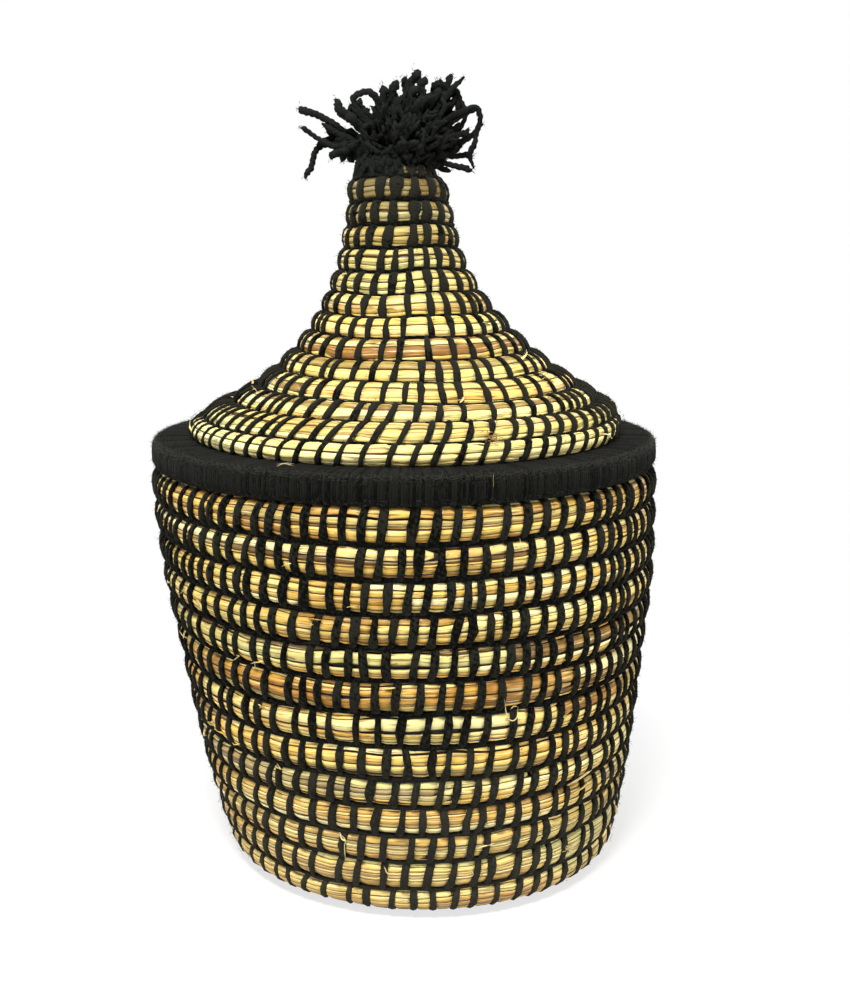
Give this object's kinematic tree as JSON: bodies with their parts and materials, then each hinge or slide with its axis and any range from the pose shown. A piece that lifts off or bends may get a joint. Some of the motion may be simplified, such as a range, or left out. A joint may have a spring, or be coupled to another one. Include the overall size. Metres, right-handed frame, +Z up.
{
  "type": "lidded basket",
  "caption": "Round lidded basket of coiled grass sewn with black yarn, with a conical lift-off lid, a bound rim and a yarn tuft.",
  "frame": {"origin": "on the floor below the middle of the mouth, the centre of the overall box's bottom", "axes": "+Z up along the basket, -Y to the front as pictured, +X to the right as pictured"},
  "size_m": [0.2043, 0.2041, 0.3143],
  "materials": {
    "body_grass": "dried grass stalks, satin",
    "lid_grass": "dried grass stalks, satin",
    "rim_grass": "dried grass stalks, satin",
    "sewing_yarn": "black wool yarn, matt",
    "binding_yarn": "black wool yarn, close wound, matt",
    "tuft_yarn": "black wool yarn, frayed, matt"
  },
  "bodies": {
    "basket": {"body_coil": "body_grass", "body_stitching": "sewing_yarn"},
    "lid": {"lid_coil": "lid_grass", "lid_stitching": "sewing_yarn", "lid_rim_core": "rim_grass", "lid_rim_binding": "binding_yarn", "lid_seat_ring": "rim_grass", "tuft_yarns": "tuft_yarn", "tuft_tie": "tuft_yarn"}
  },
  "joints": [
    {"name": "lid_lift", "type": "slide", "parent": "basket", "child": "lid", "axis": [0, 0, 1], "range_m": [0, 0.2]}
  ]
}
